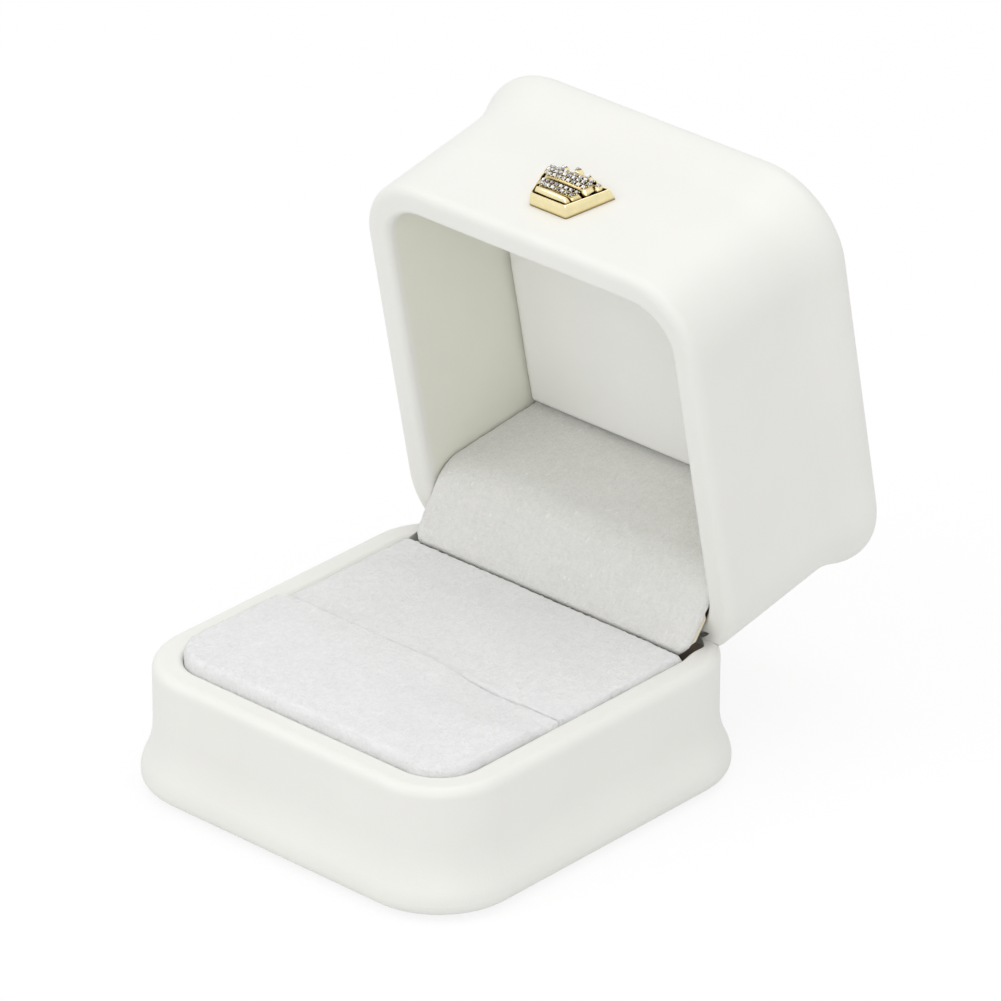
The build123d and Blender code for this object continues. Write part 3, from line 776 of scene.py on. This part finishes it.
# Bosses on the crown's points: share of a point's x, distance below its end, half axes,
# levels as (share, depth), and the radius of their stones.
BOSS_IN = 0.72
BOSS_DOWN = 1.35
BOSS_HALF = (0.6, 0.75)
BOSS_LEVELS = ((1.0, 1.4), (0.95, 2.4), (0.7, 2.85), (0.35, 3.0))
BOSS_SIDES = 12
BOSS_STONE_R = 0.36


def crown_edge(side_in, foot_in, tip_in):
    """Outline of the crown drawn in from its sides, foot and points, as (x, z)."""
    lean = (CROWN_TIPS[0][0] - CROWN_FOOT) / CROWN_TIPS[0][1]
    foot_half = CROWN_FOOT + lean * foot_in - side_in
    outline = [(-foot_half, foot_in), (foot_half, foot_in)]
    tips = []
    for x, z in CROWN_TIPS:
        pulled = x * (1 - side_in / CROWN_HALF)
        tips.append((pulled, z - tip_in))
    for tip, following in zip(tips, tips[1:]):
        outline.append(tip)
        outline.append(((tip[0] + following[0]) / 2, CROWN_VALLEY - VALLEY_SHARE * tip_in))
    outline.append(tips[-1])
    return outline


def softened(outline):
    """The outline with its corners rounded."""
    result = []
    count = len(outline)
    for k in range(count):
        corner = np.array(outline[k], float)
        before = np.array(outline[k - 1], float) - corner
        after = np.array(outline[(k + 1) % count], float) - corner
        reach_before = min(SHELL_SOFT, np.linalg.norm(before) * 0.45)
        reach_after = min(SHELL_SOFT, np.linalg.norm(after) * 0.45)
        start = corner + before / np.linalg.norm(before) * reach_before
        end = corner + after / np.linalg.norm(after) * reach_after
        for s in range(SHELL_SOFT_STEPS + 1):
            t = s / SHELL_SOFT_STEPS
            point = (1 - t) ** 2 * start + 2 * t * (1 - t) * corner + t ** 2 * end
            result.append((float(point[0]), float(point[1])))
    return result


def bow_drop(x, bow=CROWN_BOW):
    """How much nearer the lid a bowed front is beside the middle."""
    return bow * (x / CROWN_HALF) ** 2


def crown_point(x, z, depth, bow=0.0):
    """A point of the crown, depth out from the lid; bow rounds it across."""
    return (x, CROWN_Y - max(0.0, depth - bow_drop(x, bow)), CROWN_Z + z)


def round_ring(x0, z0, half_x, half_z, depth, count, twist=0.0, bow=0.0):
    """Round or oval outline on the crown's face."""
    ring = []
    for k in range(count):
        angle = (k + twist) * 2 * math.pi / count
        x = x0 + half_x * math.cos(angle)
        z = z0 + half_z * math.sin(angle)
        ring.append(crown_point(x, z, depth, bow))
    return ring


def stacked(outlines):
    """Closed skin through outlines of the same number of points."""
    points = [p for outline in outlines for p in outline]
    size = len(outlines[0])
    faces = []
    for k in range(len(outlines) - 1):
        for i in range(size):
            j = (i + 1) % size
            a = k * size
            faces.append((a + i, a + j, a + size + j, a + size + i))
    faces.append(tuple(reversed(range(size))))
    last = (len(outlines) - 1) * size
    faces.append(tuple(range(last, last + size)))
    return points, faces


def merge(parts):
    """Several (points, faces) as one."""
    points, faces = [], []
    for part_points, part_faces in parts:
        offset = len(points)
        points += list(part_points)
        faces += [tuple(i + offset for i in face) for face in part_faces]
    return points, faces


def crown_shell():
    """Flared cup: solid back, raised outer wall and a sunk floor behind the setting."""
    outlines = []
    for depth, side_in, foot_in, tip_in in SHELL_LEVELS:
        outline = softened(crown_edge(side_in, foot_in, tip_in))
        outlines.append([crown_point(x, z, depth, SHELL_BOW) for x, z in outline])
    return stacked(outlines)


def band(z_low, z_high, half_low, half_high, depth, arch, rise):
    """Convex band across the crown's face, bowed outward and arched like a hoop."""
    angles = [math.pi * k / BAND_ARC_STEPS for k in range(BAND_ARC_STEPS + 1)]
    section = [(math.cos(angle), math.sin(angle)) for angle in angles]
    outlines = []
    for s in range(BAND_STEPS + 1):
        t = s / BAND_STEPS * 2 - 1
        sag = arch * (1 - t * t)
        taper = 1.0 - BAND_THIN * max(0.0, abs(t) - BAND_THIN_FROM) / BAND_THIN_RUN
        ring = []
        for across, out in section:
            z = (z_low + z_high) / 2 - across * (z_high - z_low) / 2
            half = half_low + (half_high - half_low) * (0.5 - across / 2)
            out_to = (depth + rise * out ** 0.8) * taper
            ring.append(crown_point(half * t, z - sag, out_to, CROWN_BOW))
        ring.append(crown_point(half_low * t, z_high - sag, BAND_ROOT))
        ring.append(crown_point(half_low * t, z_low - sag, BAND_ROOT))
        outlines.append(ring)
    return stacked(outlines)


def brilliant(x, z, depth, radius):
    """Round faceted stone: table, two rows of crown facets, girdle and pavilion."""
    rings = []
    for share, level, twist in STONE_RINGS:
        half = radius * share
        rings.append(round_ring(x, z, half, half, depth + STONE_HEIGHT * level, FACETS, twist))
    return stacked(rings)


def grain(x, z, depth):
    """Small half-round grain that holds the stones."""
    rings = []
    for level in GRAIN_LEVELS:
        half = GRAIN_R * math.sqrt(1 - level ** 2)
        rings.append(round_ring(x, z, half, half, depth + GRAIN_R * level, FACETS))
    return stacked(rings)


def boss(x, z):
    """Domed boss under the stone of a point."""
    rings = []
    for share, depth in BOSS_LEVELS:
        half_x, half_z = BOSS_HALF[0] * share, BOSS_HALF[1] * share
        rings.append(round_ring(x, z, half_x, half_z, depth, BOSS_SIDES, 0.0, CROWN_BOW))
    return stacked(rings)


def boss_places():
    """Middles of the points' bosses, as (x, z)."""
    return [(x * BOSS_IN, z - BOSS_DOWN) for x, z in CROWN_TIPS]


def setting_places():
    """Stones of the set bands and of the points, as (x, z, depth, radius)."""
    places = []
    for z, count, half, depth in STONE_ROWS:
        for k in range(count):
            t = (k + 0.5) / count * 2 - 1
            x = half * t
            places.append((x, z - STONE_ARCH * (1 - t * t), depth - bow_drop(x), STONE_R))
    for x, z in boss_places():
        places.append((x, z, BOSS_LEVELS[-1][1] - bow_drop(x), BOSS_STONE_R))
    return places


def build_crown():
    """Gold crown with set bands of small stones, on the front of the lid."""
    parts = [crown_shell()]
    parts += [band(*sizes) for sizes in BANDS]
    parts += [boss(x, z) for x, z in boss_places()]
    stones = []
    for x, z, depth, radius in setting_places():
        stones.append(brilliant(x, z, depth, radius * STONE_FIT))
        reach = radius + GRAIN_OUT
        for k in range(4):
            angle = math.pi / 4 + k * math.pi / 2
            grain_x = x + reach * math.cos(angle)
            grain_z = z + reach * math.sin(angle)
            parts.append(grain(grain_x, grain_z, depth - GRAIN_OUT))
    points, faces = merge(parts)
    body = make_piece("crown", points, faces, "lid", finishes["gold"])
    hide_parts("crown_body")
    soften = body.modifiers.new("soften", "BEVEL")
    soften.width = CROWN_BEVEL * MM
    soften.segments = 2
    soften.angle_limit = math.radians(40)
    points, faces = merge(stones)
    gems = make_piece("crown_stones", points, faces, "lid", finishes["crystal"], False)
    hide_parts("crown_stones_lower", "crown_stones_upper", "crown_stones_points")


# ---------------------------------------------------------------- stage, lights and camera

AZIMUTH = math.radians(42.3123)
ELEVATION = math.radians(27.5335)
ROLL = math.radians(0.3191)
AIM = Vector((1.9493, 10.5446, 38.9317)) * MM
DISTANCE = 1186.7855 * MM
SENSOR = 36
FRAME_PIXELS = 1001
FOCAL_PIXELS = 8769.8565
FLOOR_HALF = 4.0
FLOOR_PAINT = (0.80, 0.80, 0.80)
FLOOR_GLOW = 0.80
FLOOR_WHITE = 1.05
WORLD_LIGHT = 0.68

# Lamps: name, place, aim and size in metres, power in watts.
LAMPS = (("key", (-0.55, -0.75, 0.85), (0, 0, 0.03), 0.7, 2.5),
         ("top", (0.1, 0.1, 1.1), (0, 0, 0.03), 0.9, 3.0),
         ("fill", (0.80, -0.86, 0.52), (0, 0, 0.05), 0.8, 2.8))


def build_camera():
    """Long-lens camera at the photograph's angle."""
    back = Vector((math.sin(AZIMUTH) * math.cos(ELEVATION),
                   -math.cos(AZIMUTH) * math.cos(ELEVATION), math.sin(ELEVATION)))
    right = (-back).cross(Vector((0, 0, 1))).normalized()
    up = right.cross(-back)
    right, up = (right * math.cos(ROLL) + up * math.sin(ROLL),
                 up * math.cos(ROLL) - right * math.sin(ROLL))
    data = bpy.data.cameras.new("camera")
    data.lens = FOCAL_PIXELS / FRAME_PIXELS * SENSOR
    data.sensor_width = SENSOR
    data.sensor_fit = "HORIZONTAL"
    data.clip_start = 0.05
    data.clip_end = 30
    camera = add_object("camera", data)
    turn = Matrix((right, up, back)).transposed().to_4x4()
    camera.matrix_world = Matrix.Translation(AIM + back * DISTANCE) @ turn
    bpy.context.scene.camera = camera


def math_node(tree, operation, one, two):
    """A maths node on a socket and a second socket or plain number."""
    node = tree.nodes.new("ShaderNodeMath")
    node.operation = operation
    tree.links.new(one, node.inputs[0])
    if isinstance(two, float):
        node.inputs[1].default_value = two
    else:
        tree.links.new(two, node.inputs[1])
    return node.outputs[0]


def seen_directly(tree):
    """1 for camera, mirror and see-through rays, 0 for the rays that light the object."""
    path = tree.nodes.new("ShaderNodeLightPath").outputs
    mirrored = math_node(tree, "MAXIMUM", path["Is Camera Ray"], path["Is Glossy Ray"])
    return math_node(tree, "MAXIMUM", mirrored, path["Is Transmission Ray"])


def build_floor():
    """Wide white floor that keeps a soft shadow."""
    material = bpy.data.materials.new("floor")
    material.use_nodes = True
    tree = material.node_tree
    tree.nodes.clear()
    output = tree.nodes.new("ShaderNodeOutputMaterial")
    paint = tree.nodes.new("ShaderNodeBsdfDiffuse")
    paint.inputs["Color"].default_value = (*FLOOR_PAINT, 1)
    glow = tree.nodes.new("ShaderNodeEmission")
    glow.inputs["Color"].default_value = (1, 1, 1, 1)
    glow.inputs["Strength"].default_value = FLOOR_WHITE
    mix = tree.nodes.new("ShaderNodeMixShader")
    part = math_node(tree, "MULTIPLY", seen_directly(tree), FLOOR_GLOW)
    tree.links.new(part, mix.inputs["Fac"])
    tree.links.new(paint.outputs[0], mix.inputs[1])
    tree.links.new(glow.outputs[0], mix.inputs[2])
    tree.links.new(mix.outputs[0], output.inputs["Surface"])
    mesh = bpy.data.meshes.new("floor")
    corners = [(-1, -1), (1, -1), (1, 1), (-1, 1)]
    points = [(x * FLOOR_HALF, y * FLOOR_HALF, 0) for x, y in corners]
    mesh.from_pydata(points, [], [(0, 1, 2, 3)])
    mesh.materials.append(material)
    floor = add_object("floor", mesh)


def build_world():
    """White surroundings, with their own plain level for the light on the object."""
    world = bpy.data.worlds.new("world")
    bpy.context.scene.world = world
    world.use_nodes = True
    tree = world.node_tree
    background = tree.nodes["Background"]
    strength = tree.nodes.new("ShaderNodeMapRange")
    strength.inputs["To Min"].default_value = WORLD_LIGHT
    strength.inputs["To Max"].default_value = 1.0
    tree.links.new(seen_directly(tree), strength.inputs["Value"])
    tree.links.new(strength.outputs["Result"], background.inputs["Strength"])
    background.inputs["Color"].default_value = (1, 1, 1, 1)


def build_lamp(name, place, aim, size, power):
    """Soft square lamp, in metres and watts."""
    data = bpy.data.lights.new(name, "AREA")
    data.shape = "SQUARE"
    data.size = size
    data.energy = power
    lamp = add_object(name, data)
    lamp.location = place
    lamp.rotation_euler = (Vector(aim) - Vector(place)).to_track_quat("-Z", "Y").to_euler()


build_camera()
build_floor()
build_world()
for lamp_values in LAMPS:
    build_lamp(*lamp_values)
bpy.context.scene.view_settings.view_transform = "Standard"
dress_frame()
build_pads()
build_flap()
build_crown()
